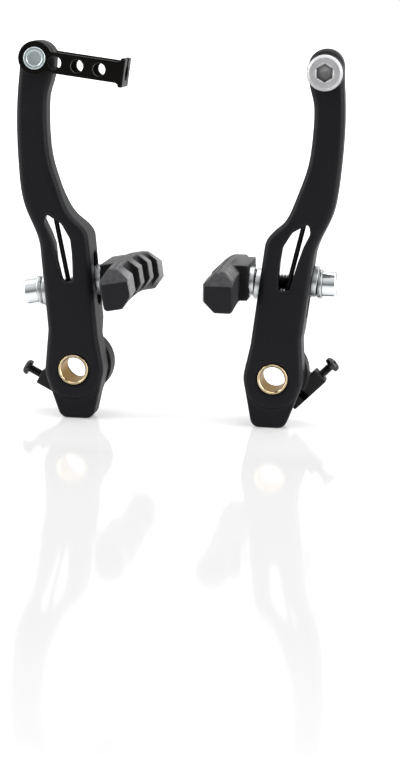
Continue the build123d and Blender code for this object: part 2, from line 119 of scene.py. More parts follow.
def spread(tree, value, low, high):  # a 0 to 1 value spread between two numbers
    node = addNode(tree, "ShaderNodeMapRange", {"Value": value, "To Min": low, "To Max": high})
    return node.outputs["Result"]


def between(tree, value, low, high):  # 0 below the first number, 1 above the second
    node = addNode(tree, "ShaderNodeMapRange", {"Value": value, "From Min": low, "From Max": high})
    return node.outputs["Result"]


def combine(tree, operation, first, second):
    node = addNode(tree, "ShaderNodeMath", operation=operation)
    for place, value in enumerate((first, second)):
        if hasattr(value, "is_output"):
            tree.links.new(value, node.inputs[place])
        else:
            node.inputs[place].default_value = value
    return node.outputs[0]


def noiseOf(tree, place, scale, detail):
    node = addNode(tree, "ShaderNodeTexNoise", {"Vector": place, "Scale": scale, "Detail": detail})
    return node.outputs["Fac"]


def dotOf(tree, first, second):
    node = addNode(tree, "ShaderNodeVectorMath", {0: first, 1: second}, operation="DOT_PRODUCT")
    return node.outputs["Value"]


# shared effects, each one node group

def newGroup(name, inputs, outputs):
    tree = bpy.data.node_groups.new(name, "ShaderNodeTree")
    for label, value in inputs.items():
        socket = tree.interface.new_socket(label, in_out="INPUT", socket_type="NodeSocketFloat")
        socket.default_value = value
    for label in outputs:
        tree.interface.new_socket(label, in_out="OUTPUT", socket_type="NodeSocketFloat")
    return tree, addNode(tree, "NodeGroupInput"), addNode(tree, "NodeGroupOutput")


def objectPlace(tree):
    return addNode(tree, "ShaderNodeTexCoord").outputs["Object"]


def makeGrainGroup():
    inputs = {"Grain Scale": 4000, "Cloud Scale": 120}
    tree, start, end = newGroup("fineGrain", inputs, ["Height", "Cloud"])
    place = objectPlace(tree)
    tree.links.new(noiseOf(tree, place, start.outputs["Grain Scale"], 3), end.inputs["Height"])
    tree.links.new(noiseOf(tree, place, start.outputs["Cloud Scale"], 4), end.inputs["Cloud"])
    return tree


def breakUp(tree, mask, scale, detail, low, high):  # noise thins and thickens a mask
    patchy = spread(tree, noiseOf(tree, objectPlace(tree), scale, detail), low, high)
    return combine(tree, "MULTIPLY", mask, patchy)


# edge wear and painted highlight: convex edges, found by pointiness, get a paler colour, broken up by noise
def makeEdgeGroup():
    tree, start, end = newGroup("edgeRub", {"Low": 0.5, "High": 0.6, "Break Up": 900}, ["Mask"])
    pointed = addNode(tree, "ShaderNodeNewGeometry").outputs["Pointiness"]
    edge = between(tree, pointed, start.outputs["Low"], start.outputs["High"])
    mask = breakUp(tree, edge, start.outputs["Break Up"], detail=4, low=0.35, high=1.3)
    tree.links.new(mask, end.inputs["Mask"])
    return tree


def makeRingGroup():
    tree, start, end = newGroup("turnedRings", {"Ring Scale": 9000}, ["Height"])
    split = addNode(tree, "ShaderNodeSeparateXYZ", {"Vector": objectPlace(tree)})
    flat = addNode(tree, "ShaderNodeCombineXYZ", {"X": split.outputs["X"], "Y": split.outputs["Y"]})
    reach = addNode(tree, "ShaderNodeVectorMath", {"Vector": flat.outputs["Vector"]}, operation="LENGTH")
    path = combine(tree, "ADD", reach.outputs["Value"], split.outputs["Z"])
    values = {"W": path, "Scale": start.outputs["Ring Scale"], "Detail": 2}
    noise = addNode(tree, "ShaderNodeTexNoise", values, noise_dimensions="1D")
    tree.links.new(noise.outputs["Fac"], end.inputs["Height"])
    return tree


# dust bloom and painted top light: faces turned upward get a paler colour, broken up by noise
def makeBloomAndLightGroup():
    tree, start, end = newGroup("topBloom", {"Low": 0.1, "High": 0.95, "Break Up": 400}, ["Mask"])
    normal = addNode(tree, "ShaderNodeNewGeometry").outputs["Normal"]
    split = addNode(tree, "ShaderNodeSeparateXYZ", {"Vector": normal})
    upward = between(tree, split.outputs["Z"], start.outputs["Low"], start.outputs["High"])
    mask = breakUp(tree, upward, start.outputs["Break Up"], detail=5, low=0.2, high=1.4)
    tree.links.new(mask, end.inputs["Mask"])
    return tree


def makeWornGroup():
    inputs = {"Way X": 1, "Way Y": 0, "Way Z": 0, "Face": 0, "Worn Depth": 0.001, "Break Up": 500}
    inputs.update({"Facing Low": 0.3, "Facing High": 0.6})
    tree, start, end = newGroup("wornFace", inputs, ["Mask"])
    way = addNode(tree, "ShaderNodeCombineXYZ", {axis: start.outputs["Way " + axis] for axis in "XYZ"})
    reach = dotOf(tree, objectPlace(tree), way.outputs["Vector"])
    under = combine(tree, "SUBTRACT", start.outputs["Face"], reach)
    worn = between(tree, under, start.outputs["Worn Depth"], 0)
    normal = addNode(tree, "ShaderNodeTexCoord").outputs["Normal"]
    along = dotOf(tree, normal, way.outputs["Vector"])
    facing = between(tree, along, start.outputs["Facing Low"], start.outputs["Facing High"])
    shown = combine(tree, "MULTIPLY", worn, facing)
    mask = breakUp(tree, shown, start.outputs["Break Up"], detail=5, low=0.4, high=1.3)
    tree.links.new(mask, end.inputs["Mask"])
    return tree


# painted shade: ambient occlusion gives the Open mask, and where it is low the hollow colour darkens hollows,
# sockets and recesses
def makeOpenGroup():
    tree, start, end = newGroup("openAir", {"Low": 0.45, "High": 0.92, "Reach": 0.004}, ["Open"])
    shut = addNode(tree, "ShaderNodeAmbientOcclusion", {"Distance": start.outputs["Reach"]}, samples=8)
    clear = between(tree, shut.outputs["AO"], start.outputs["Low"], start.outputs["High"])
    tree.links.new(clear, end.inputs["Open"])
    return tree


grainGroup = makeGrainGroup()
edgeGroup = makeEdgeGroup()
ringGroup = makeRingGroup()
bloomAndLightGroup = makeBloomAndLightGroup()
wornGroup = makeWornGroup()
openGroup = makeOpenGroup()


def placeGroup(tree, group, values):
    node = addNode(tree, "ShaderNodeGroup", node_tree=group)
    for name, value in values.items():
        node.inputs[name].default_value = value
    return node


def newMaterial(name, plain):
    material = bpy.data.materials.new(name)
    material.use_nodes = True
    shader = material.node_tree.nodes["Principled BSDF"]
    for label, value in plain.items():
        shader.inputs[label].default_value = value
    return material, material.node_tree, shader


def bumpFrom(tree, shader, height, look):
    values = {"Height": height, "Strength": look["bump"], "Distance": look["bumpDepth"]}
    bump = addNode(tree, "ShaderNodeBump", values)
    tree.links.new(bump.outputs["Normal"], shader.inputs["Normal"])


def coatedMaterial(name, look):
    material, tree, shader = newMaterial(name, look["plain"])
    grain = placeGroup(tree, grainGroup, look["grain"])
    edge = placeGroup(tree, edgeGroup, look["edge"])
    tone = mixColours(tree, grain.outputs["Cloud"], look["dark"], look["pale"])
    # paler edges: edge wear with a painted edge highlight
    rubbed = mixColours(tree, edge.outputs["Mask"], tone, look["rubbed"])
    tree.links.new(rubbed, shader.inputs["Base Color"])
    tree.links.new(spread(tree, grain.outputs["Cloud"], *look["roughness"]), shader.inputs["Roughness"])
    bumpFrom(tree, shader, grain.outputs["Height"], look)
    return material


grainOverRings = 0.5  # how much of the grain lies over the turned rings


def turnedMetal(name, look):
    material, tree, shader = newMaterial(name, look["plain"])
    grain = placeGroup(tree, grainGroup, look["grain"])
    rings = placeGroup(tree, ringGroup, look["rings"])
    air = placeGroup(tree, openGroup, look["open"])
    tone = mixColours(tree, grain.outputs["Cloud"], look["dark"], look["pale"])
    # painted shade: the hollow colour darkens occluded places
    shaded = mixColours(tree, air.outputs["Open"], look["hollow"], tone)
    tree.links.new(shaded, shader.inputs["Base Color"])
    tree.links.new(spread(tree, grain.outputs["Cloud"], *look["roughness"]), shader.inputs["Roughness"])
    fine = combine(tree, "MULTIPLY", grain.outputs["Height"], grainOverRings)
    bumpFrom(tree, shader, combine(tree, "ADD", rings.outputs["Height"], fine), look)
    return material


def padRubber(name, look, face):
    material, tree, shader = newMaterial(name, look["plain"])
    grain = placeGroup(tree, grainGroup, look["grain"])
    edge = placeGroup(tree, edgeGroup, look["edge"])
    bloom = placeGroup(tree, bloomAndLightGroup, look["bloom"])
    worn = placeGroup(tree, wornGroup, {**look["worn"], **face})
    air = placeGroup(tree, openGroup, look["open"])
    tone = mixColours(tree, grain.outputs["Cloud"], look["dark"], look["pale"])
    # paler upward faces: dust bloom with painted top light
    dustyAndToplit = mixColours(tree, bloom.outputs["Mask"], tone, look["bloomed"])
    buffed = mixColours(tree, worn.outputs["Mask"], dustyAndToplit, look["buffed"])
    # paler edges: edge wear with a painted edge highlight
    rubbed = mixColours(tree, edge.outputs["Mask"], buffed, look["rubbed"])
    # painted shade: the hollow colour darkens occluded recesses
    shaded = mixColours(tree, air.outputs["Open"], look["hollow"], rubbed)
    tree.links.new(shaded, shader.inputs["Base Color"])
    tree.links.new(spread(tree, grain.outputs["Cloud"], *look["roughness"]), shader.inputs["Roughness"])
    bumpFrom(tree, shader, grain.outputs["Height"], look)
    return material


# finishes

armBlackLook = {
    "plain": {"Specular IOR Level": 0.2},
    "grain": {"Grain Scale": 3200, "Cloud Scale": 90},
    "edge": {"Low": 0.53, "High": 0.66, "Break Up": 700},
    "dark": (0.0050, 0.0051, 0.0067),
    "pale": (0.0082, 0.0084, 0.0108),
    # paler edge colour: edge wear and painted edge highlight
    "rubbed": (0.02, 0.02, 0.021),
    "roughness": (0.36, 0.5),
    "bump": 0.22,
    "bumpDepth": 0.05 * mm,
}
holderPlasticLook = {
    "plain": {"Specular IOR Level": 0.3},
    "grain": {"Grain Scale": 2400, "Cloud Scale": 150},
    "edge": {"Low": 0.52, "High": 0.64, "Break Up": 900},
    "dark": (0.007, 0.007, 0.008),
    "pale": (0.012, 0.012, 0.013),
    # paler edge colour: edge wear and painted edge highlight
    "rubbed": (0.026, 0.026, 0.027),
    "roughness": (0.42, 0.6),
    "bump": 0.3,
    "bumpDepth": 0.05 * mm,
}
linkBlackLook = {
    "plain": {"Specular IOR Level": 0.12, "Coat Weight": 0.03, "Coat Roughness": 0.2},
    "grain": {"Grain Scale": 1400, "Cloud Scale": 200},
    "edge": {"Low": 0.53, "High": 0.68, "Break Up": 1100},
    "dark": (0.0022, 0.0019, 0.0015),
    "pale": (0.004, 0.0036, 0.003),
    # paler edge colour: edge wear and painted edge highlight
    "rubbed": (0.04, 0.036, 0.03),
    "roughness": (0.22, 0.36),
    "bump": 0.16,
    "bumpDepth": 0.06 * mm,
}
washerBlackLook = {
    "plain": {"Specular IOR Level": 0.4, "Metallic": 0.3},
    "grain": {"Grain Scale": 3000, "Cloud Scale": 260},
    "edge": {"Low": 0.53, "High": 0.66, "Break Up": 1200},
    "dark": (0.010, 0.010, 0.011),
    "pale": (0.018, 0.018, 0.020),
    # paler edge colour: edge wear and painted edge highlight
    "rubbed": (0.1, 0.1, 0.1),
    "roughness": (0.28, 0.42),
    "bump": 0.15,
    "bumpDepth": 0.04 * mm,
}
zincLook = {
    "plain": {"Metallic": 1.0},
    "grain": {"Grain Scale": 2600, "Cloud Scale": 320},
    "rings": {"Ring Scale": 7000},
    "open": {"Low": 0.2, "High": 0.8, "Reach": 2 * mm},
    # painted shade in hollows
    "hollow": (0.10, 0.10, 0.10),
    "dark": (0.56, 0.58, 0.59),
    "pale": (0.74, 0.76, 0.77),
    "roughness": (0.2, 0.34),
    "bump": 0.12,
    "bumpDepth": 0.03 * mm,
}
# a shaded copy of the zinc for the pad studs: darker, with painted shade reaching far, as the studs lie inside the
# arms' slots
studShadedZincLook = {
    "plain": {"Metallic": 1.0},
    "grain": {"Grain Scale": 2600, "Cloud Scale": 320},
    "rings": {"Ring Scale": 7000},
    "open": {"Low": 0.4, "High": 0.95, "Reach": 7 * mm},
    # painted shade in hollows
    "hollow": (0.02, 0.02, 0.02),
    "dark": (0.5, 0.52, 0.53),
    "pale": (0.68, 0.7, 0.71),
    "roughness": (0.22, 0.36),
    "bump": 0.12,
    "bumpDepth": 0.03 * mm,
}
brightNutLook = {
    "plain": {"Metallic": 1.0},
    "grain": {"Grain Scale": 2200, "Cloud Scale": 260},
    "rings": {"Ring Scale": 9000},
    "open": {"Low": 0.25, "High": 0.85, "Reach": 3 * mm},
    # painted shade in hollows
    "hollow": (0.16, 0.165, 0.17),
    "dark": (0.84, 0.88, 0.91),
    "pale": (0.93, 0.96, 0.98),
    "roughness": (0.06, 0.14),
    "bump": 0.1,
    "bumpDepth": 0.03 * mm,
}
anchorSatinLook = {
    "plain": {"Metallic": 1.0},
    "grain": {"Grain Scale": 2400, "Cloud Scale": 300},
    "rings": {"Ring Scale": 5000},
    "open": {"Low": 0.5, "High": 0.98, "Reach": 3 * mm},
    # painted shade in hollows
    "hollow": (0.11, 0.11, 0.113),
    "dark": (0.46, 0.46, 0.47),
    "pale": (0.72, 0.72, 0.73),
    "roughness": (0.46, 0.62),
    "bump": 0.32,
    "bumpDepth": 0.04 * mm,
}
bushGoldLook = {
    "plain": {"Metallic": 1.0, "Specular Tint": (0.8, 0.66, 0.48, 1)},
    "grain": {"Grain Scale": 2000, "Cloud Scale": 260},
    "rings": {"Ring Scale": 11000},
    "open": {"Low": 0.5, "High": 1.0, "Reach": 14 * mm},
    # painted shade in hollows
    "hollow": (0.3, 0.19, 0.09),
    "dark": (0.60, 0.47, 0.28),
    "pale": (0.80, 0.65, 0.42),
    "roughness": (0.16, 0.3),
    "bump": 0.12,
    "bumpDepth": 0.03 * mm,
}
rivetLook = {
    "plain": {"Metallic": 1.0},
    "grain": {"Grain Scale": 1800, "Cloud Scale": 420},
    "rings": {"Ring Scale": 6000},
    "open": {"Low": 0.3, "High": 0.9, "Reach": 1.2 * mm},
    # painted shade in hollows
    "hollow": (0.22, 0.28, 0.29),
    "dark": (0.46, 0.55, 0.56),
    "pale": (0.66, 0.73, 0.73),
    "roughness": (0.26, 0.42),
    "bump": 0.14,
    "bumpDepth": 0.04 * mm,
}
darkWireLook = {
    "plain": {"Metallic": 0.6},
    "grain": {"Grain Scale": 5200, "Cloud Scale": 300},
    "rings": {"Ring Scale": 12000},
    "open": {"Low": 0.1, "High": 0.7, "Reach": 2 * mm},
    # painted shade in hollows
    "hollow": (0.006, 0.006, 0.006),
    "dark": (0.012, 0.012, 0.013),
    "pale": (0.026, 0.026, 0.028),
    "roughness": (0.28, 0.42),
    "bump": 0.12,
    "bumpDepth": 0.03 * mm,
}
darkScrewLook = {
    "plain": {"Metallic": 0.9},
    "grain": {"Grain Scale": 4200, "Cloud Scale": 340},
    "rings": {"Ring Scale": 9000},
    "open": {"Low": 0.3, "High": 0.85, "Reach": 1.2 * mm},
    # painted shade in hollows
    "hollow": (0.006, 0.006, 0.006),
    "dark": (0.026, 0.026, 0.027),
    "pale": (0.075, 0.075, 0.077),
    "roughness": (0.16, 0.3),
    "bump": 0.12,
    "bumpDepth": 0.03 * mm,
}
padRubberLook = {
    "plain": {"Specular IOR Level": 0.22, "Sheen Weight": 0.03, "Sheen Roughness": 0.5},
    "grain": {"Grain Scale": 1700, "Cloud Scale": 170},
    "edge": {"Low": 0.52, "High": 0.62, "Break Up": 600},
    "bloom": {"Low": 0.3, "High": 0.85, "Break Up": 700},
    "worn": {"Worn Depth": 2.9 * mm, "Break Up": 700},
    "open": {"Low": 0.4, "High": 0.95, "Reach": 5 * mm},
    "dark": (0.0045, 0.0045, 0.0056),
    "pale": (0.0165, 0.0165, 0.0198),
    # painted shade in hollows
    "hollow": (0.002, 0.002, 0.0022),
    # upward-face colour: dust bloom and painted top light
    "bloomed": (0.135, 0.135, 0.139),
    "buffed": (0.34, 0.34, 0.346),
    # paler edge colour: edge wear and painted edge highlight
    "rubbed": (0.2, 0.2, 0.202),
    "roughness": (0.5, 0.72),
    "bump": 0.35,
    "bumpDepth": 0.08 * mm,
}

finishes = {
    "arm_black": coatedMaterial("armBlack", armBlackLook),
    "holder_plastic": coatedMaterial("holderPlastic", holderPlasticLook),
    "link_black": coatedMaterial("linkBlack", linkBlackLook),
    "washer_black": coatedMaterial("washerBlack", washerBlackLook),
    "zinc_steel": turnedMetal("zincSteel", zincLook),
    "nut_silver": turnedMetal("nutSilver", brightNutLook),
    "bush_gold": turnedMetal("bushGold", bushGoldLook),
    "rivet_silver": turnedMetal("rivetSilver", rivetLook),
    "spring_steel": turnedMetal("springWire", darkWireLook),
    "screw_steel": turnedMetal("screwBlack", darkScrewLook),
}
padFinishes = {side: padRubber(side + "PadRubber", padRubberLook, brakingFace(side)) for side in sides}
studShadedFinish = turnedMetal("studZinc", studShadedZincLook)
ownFinishes = {
    "right_anchor_bolt": turnedMetal("anchorSatin", anchorSatinLook),
    "left_pad_stud": studShadedFinish,
    "right_pad_stud": studShadedFinish,
}
slotOf = {part["node"]: part["material_slot"] for part in frame["record"]["subparts"]}
bodies = frame["record"]["behaviour"]["bodies"]
bodyOf = {node: body for body, members in bodies.items() for node in members}


def finishOf(nodeName):
    if slotOf[nodeName] == "pad_rubber":
        return padFinishes[nodeName.split("_")[0]]
    return ownFinishes.get(nodeName) or finishes[slotOf[nodeName]]


print("finishes made,", len({*finishes.values(), *padFinishes.values(), *ownFinishes.values()}))


# forged and moulded pieces keep their CAD form, with the edges softened as the process leaves them

softened = {
    "arm": {"grid": 0.45 * mm, "passes": 4},
    "spring_holder": {"grid": 0.33 * mm, "passes": 3},
    "brake_pad": {"grid": 0.32 * mm, "passes": 2},
    "cable_link": {"grid": 0.22 * mm, "passes": 3},
    "anchor_plate": {"grid": 0.2 * mm, "passes": 3},
}
softening = {"weld": 0.002 * mm, "strength": 0.5}


def softenEdges(piece, soft):
    weld = piece.modifiers.new("weld", "WELD")
    weld.merge_threshold = softening["weld"]
    grid = piece.modifiers.new("softGrid", "REMESH")
    grid.mode = "VOXEL"
    grid.voxel_size = soft["grid"]
    grid.use_smooth_shade = True
    smooth = piece.modifiers.new("softEdges", "SMOOTH")
    smooth.factor = softening["strength"]
    smooth.iterations = soft["passes"]


for nodeName, piece in nodes.items():
    piece.data.materials.clear()
    piece.data.materials.append(finishOf(nodeName))
    kind = nodeName.split("_", 1)[1]
    if kind in softened:
        softenEdges(piece, softened[kind])
print("forged and moulded pieces softened")


# meshes made of rings of points

meshing = {"merge": 0.0005 * mm, "tiny": 1e-9}


def ringMesh(name, rings, closed):
    mesh = bpy.data.meshes.new(name)
    shape = bmesh.new()
    made = [[shape.verts.new(point) for point in ring] for ring in rings]
    for place in range(0 if closed else 1, len(made)):
        below, ring = made[place - 1], made[place]
        for step in range(len(ring)):
            after = (step + 1) % len(ring)
            shape.faces.new((below[step], below[after], ring[after], ring[step]))
    bmesh.ops.remove_doubles(shape, verts=shape.verts, dist=meshing["merge"])
    bmesh.ops.recalc_face_normals(shape, faces=shape.faces)
    for face in shape.faces:
        face.smooth = True
    shape.to_mesh(mesh)
    shape.free()
    return mesh


def roundShape(angle):
    return 1.0


def hexShape(angle):
    sixth = math.pi / 3
    return 1 / math.cos((angle + sixth / 2) % sixth - sixth / 2)


def crossShape(angle, share=0.32):  # the share is a wing's width over its length
    across = max(abs(math.cos(angle)), meshing["tiny"])
    upright = max(abs(math.sin(angle)), meshing["tiny"])
    return max(min(1 / across, share / upright), min(1 / upright, share / across))


def softCorners(points, radius, closed=True, count=4, mostOfSide=0.45):
    rounded = []
    for place, point in enumerate(points):
        outline = point[2] if len(point) > 2 else roundShape
        if not closed and place in (0, len(points) - 1):
            rounded.append((point[0], point[1], outline))
            continue
        corner = Vector(point[:2])
        before = Vector(points[place - 1][:2]) - corner
        after = Vector(points[(place + 1) % len(points)][:2]) - corner
        room = min(radius, mostOfSide * before.length, mostOfSide * after.length)
        first = corner + before.normalized() * room
        last = corner + after.normalized() * room
        for step in range(count + 1):
            share = step / count
            curve = first * (1 - share) ** 2 + corner * 2 * share * (1 - share) + last * share ** 2
            rounded.append((curve.x, curve.y, outline))
    return rounded


def turnedRings(profile, steps=96):  # each profile point: along, radius, outline shape
    rings = []
    for along, radius, outline in profile:
        ring = []
        for step in range(steps):
            angle = 2 * math.pi * step / steps
            reach = radius * outline(angle)
            ring.append((reach * math.cos(angle), reach * math.sin(angle), along))
        rings.append(ring)
    return rings


def coreOf(thread):
    return thread["radius"] - thread["depth"]


# a right-hand thread, run out at both ends
def threadRings(low, high, thread, steps=96, perPitch=8, rootFlat=0.12):
    rings = []
    count = round((high - low) / thread["pitch"] * perPitch)
    for number in range(count + 1):
        along = low + (high - low) * number / count
        fade = min(1, (along - low) / thread["pitch"], (high - along) / thread["pitch"])
        ring = []
        for step in range(steps):
            angle = 2 * math.pi * step / steps
            phase = (along / thread["pitch"] - step / steps) % 1
            rise = max(0, abs(2 * phase - 1) - rootFlat) / (1 - rootFlat)
            reach = coreOf(thread) + thread["depth"] * (rise * fade + thread["runOut"] * (1 - fade))
            ring.append((reach * math.cos(angle), reach * math.sin(angle), along))
        rings.append(ring)
    return rings


def axisMatrix(middle, axis):
    return Matrix.Translation(middle) @ Vector(axis).to_track_quat("Z", "Y").to_matrix().to_4x4()


def turnedSize(nodeName, axis, middle=None):  # middle, ends and radii of a turned CAD node about its axis
    middle = middle or surfaceMiddle(nodeName)
    places = [vertex.co - middle for vertex in nodes[nodeName].data.vertices]
    alongs = [place.dot(axis) for place in places]
    radii = [place.cross(axis).length for place in places]
    ends = {"low": min(alongs), "high": max(alongs)}
    return {"middle": middle, "outer": max(radii), "bore": min(radii), **ends}


def wallAxisOf(side):  # outward, square to the pad walls
    upWall = Vector(joints[side + "_pad_height"]["axis"])
    return Vector((0, 1, 0)).cross(upWall).normalized() * outward[side]


def newPiece(nodeName, pieceName, mesh):
    piece = bpy.data.objects.new(pieceName, mesh)
    bpy.context.scene.collection.objects.link(piece)
    mesh.materials.append(finishOf(nodeName))
    even = piece.modifiers.new("evenShade", "WEIGHTED_NORMAL")
    even.keep_sharp = False
    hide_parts(nodeName)
    return piece


def showTurned(nodeName, pieceName, rings, middle, axis, closed=True):
    piece = newPiece(nodeName, pieceName, ringMesh(pieceName, rings, closed))
    piece.matrix_world = axisMatrix(middle, axis)
    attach(piece, bodyOf[nodeName])


front = Vector((0, -1, 0))


# pivot bushes

bush = {"chamfer": 0.45 * mm, "edge": 0.12 * mm}

for side in sides:
    node = side + "_pivot_bush"
    size = turnedSize(node, front)
    chamfer = bush["chamfer"]
    corners = [
        (size["low"], size["bore"] + chamfer),
        (size["low"], size["outer"] - chamfer),
        (size["low"] + chamfer, size["outer"]),
        (size["high"] - chamfer / 2, size["outer"]),
        (size["high"], size["outer"] - chamfer / 2),
        (size["high"], size["bore"] + chamfer),
        (size["high"] - chamfer, size["bore"]),
        (size["low"] + chamfer, size["bore"]),
    ]
    showTurned(node, side + "Bush", turnedRings(softCorners(corners, bush["edge"])), size["middle"], front)
print("bushes turned")


# cup, dome and flat washers

washers = {
    "edge": 0.2 * mm,
    "domeSteps": 7,
    "ballRadius": 7.0 * mm,
    "cupFloor": 0.4 * mm,
    "seatGap": 0.05 * mm,
}


def ballSag(reach):
    return washers["ballRadius"] - math.sqrt(washers["ballRadius"] ** 2 - reach ** 2)


def ballStretch(outer, bore, apex):  # points on the ball seat, from the rim down to the bore
    points = []
    for step in range(washers["domeSteps"] + 1):
        reach = outer + (bore - outer) * step / washers["domeSteps"]
        points.append((apex + ballSag(reach), reach))
    return points


def cupProfile(size):
    rise = size["high"] - size["low"] - washers["cupFloor"]
    rim = math.sqrt(washers["ballRadius"] ** 2 - (washers["ballRadius"] - rise) ** 2)
    seat = ballStretch(rim, size["bore"], size["low"] + washers["cupFloor"])
    low, high, outer = size["low"] + washers["seatGap"], size["high"], size["outer"]
    return softCorners([(low, size["bore"]), (low, outer), (high, outer), *seat], washers["edge"])


def domeProfile(size):
    seat = ballStretch(size["outer"], size["bore"], size["low"] - ballSag(size["bore"]))
    high, outer, bore = size["high"], size["outer"], size["bore"]
    return softCorners([(high, bore), (high, outer), *seat], washers["edge"])


def flatProfile(size):
    corners = [
        (size["low"], size["bore"]),
        (size["low"], size["outer"]),
        (size["high"], size["outer"]),
        (size["high"], size["bore"]),
    ]
    return softCorners(corners, washers["edge"])


for side in sides:
    studAxis = studAxisOf(side)
    for row, sign in (("outer", 1), ("inner", -1)):
        cupAxis = wallAxisOf(side) * sign
        domeAxis = studAxis * sign
        for kind, axis, profile in (("cup", cupAxis, cupProfile), ("dome", domeAxis, domeProfile)):
            node = f"{side}_{row}_{kind}"
            pieceName = side + row.title() + kind.title()
            size = turnedSize(node, axis)
            showTurned(node, pieceName, turnedRings(profile(size)), size["middle"], axis)
    node = side + "_flat_washer"
    size = turnedSize(node, studAxis)
    showTurned(node, side + "Washer", turnedRings(flatProfile(size)), size["middle"], studAxis)
print("washers turned")


# pad studs: an M6 thread with the plate that the rubber is moulded round

stud = {
    "thread": {"radius": 2.97 * mm, "depth": 0.6 * mm, "pitch": 1.0 * mm, "runOut": 0.35},
    "pointLength": 0.6 * mm,
    "pointShare": 0.9,
    "plateHalfLong": 15.0 * mm,
    "plateHalfHigh": 4.0 * mm,
    "plateSquareness": 5,
    "plateEdge": 0.35 * mm,
    "plateRimShare": 0.93,
    "plateThick": 1.6 * mm,
}


def plateShape(angle):  # a rounded rectangle, as a reach for each angle
    power = stud["plateSquareness"]
    along = abs(math.cos(angle)) / stud["plateHalfLong"]
    upright = abs(math.sin(angle)) / stud["plateHalfHigh"]
    return (along ** power + upright ** power) ** (-1 / power)


for side in sides:
    node = side + "_pad_stud"
    axis = studAxisOf(side)
    size = turnedSize(node, axis, surfaceMiddle(side + "_pad_nut"))
    low, high = size["low"], size["high"]
    edge, rim = stud["plateEdge"], stud["plateRimShare"]
    top = low + stud["plateThick"]
    core = coreOf(stud["thread"])
    corners = [
        (low, 0.0, roundShape),
        (low, rim, plateShape),
        (low + edge, 1.0, plateShape),
        (top - edge, 1.0, plateShape),
        (top, rim, plateShape),
        (top, core + edge, roundShape),
    ]
    rings = turnedRings(corners)
    rings += threadRings(top + edge, high - stud["pointLength"], stud["thread"])
    rings += turnedRings([(high, core * stud["pointShare"], roundShape), (high, 0.0, roundShape)])
    showTurned(node, side + "PadStud", rings, size["middle"], axis, closed=False)
print("studs threaded")


# pad nuts: round, with a hexagon socket in the outer end

nut = {
    "chamfer": 0.55 * mm,
    "edge": 0.14 * mm,
    "socketFlats": 5.0 * mm,
    "socketDepth": 3.2 * mm,
    "bore": 3.0 * mm,
}

for side in sides:
    node = side + "_pad_nut"
    axis = studAxisOf(side)
    size = turnedSize(node, axis)
    flats = nut["socketFlats"] / 2
    floor = size["high"] - nut["socketDepth"]
    corners = [
        (size["low"], nut["bore"]),
        (size["low"], size["outer"] - nut["edge"]),
        (size["low"] + nut["edge"], size["outer"]),
        (size["high"] - nut["chamfer"], size["outer"]),
        (size["high"], size["outer"] - nut["chamfer"]),
        (size["high"], flats + 2 * nut["edge"], hexShape),
        (size["high"] - 2 * nut["edge"], flats, hexShape),
        (floor, flats, hexShape),
        (floor - nut["edge"], flats - nut["edge"]),
    ]
    showTurned(node, side + "PadNut", turnedRings(softCorners(corners, nut["edge"])), size["middle"], axis)
print("pad nuts turned")


# tension screws: pan head with a cross recess, M3 thread

screw = {
    "thread": {"radius": 1.48 * mm, "depth": 0.3 * mm, "pitch": 0.5 * mm, "runOut": 0.4},
    "headHeight": 2.0 * mm,
    "headRadius": 2.6 * mm,
    "headEdge": 0.3 * mm,
    "crownDrop": 0.7 * mm,
    "shoulderDrop": 0.2 * mm,
    "shoulderShare": 0.82,
    "topShare": 0.66,
    "crossReach": 1.65 * mm,
    "crossDepth": 1.1 * mm,
    "crossMouthShare": 1.04,
    "crossFloorShare": 0.7,
    "crossPointShare": 1.1,
    "pointLength": 0.4 * mm,
    "pointShare": 0.9,
}

for side in sides:
    node = side + "_tension_screw"
    axis = Vector(joints[side + "_tension_screw_turn_in"]["axis"]).normalized()
    size = turnedSize(node, axis)
    low, high = size["low"], size["high"]
    under = high - screw["headHeight"]
    rim = screw["headRadius"]
    cross, depth = screw["crossReach"], screw["crossDepth"]
    core = coreOf(screw["thread"])
    rings = turnedRings([(low, 0.0, roundShape), (low, core * screw["pointShare"], roundShape)])
    rings += threadRings(low + screw["pointLength"], under - screw["headEdge"], screw["thread"])
    head = [
        (under, core),
        (under, rim),
        (high - screw["crownDrop"], rim),
        (high - screw["shoulderDrop"], rim * screw["shoulderShare"]),
        (high, rim * screw["topShare"]),
        (high, cross * screw["crossMouthShare"], crossShape),
        (high - depth, cross * screw["crossFloorShare"], crossShape),
        (high - depth * screw["crossPointShare"], 0.0),
    ]
    rings += turnedRings(softCorners(head, screw["headEdge"], closed=False))
    showTurned(node, side + "TensionScrew", rings, size["middle"], axis, closed=False)
print("tension screws threaded")


# rivet of the cable link, its front head dished

rivet = {
    "shank": 2.5 * mm,
    "headHeight": 1.1 * mm,
    "dishRadius": 2.65 * mm,
    "dish": 0.35 * mm,
    "dishMiddleShare": 0.8,
    "dishFloorShare": 0.9,
    "edge": 0.16 * mm,
    "domed": 0.25 * mm,
    "backShoulderShare": 0.94,
    "backTopShare": 0.6,
}

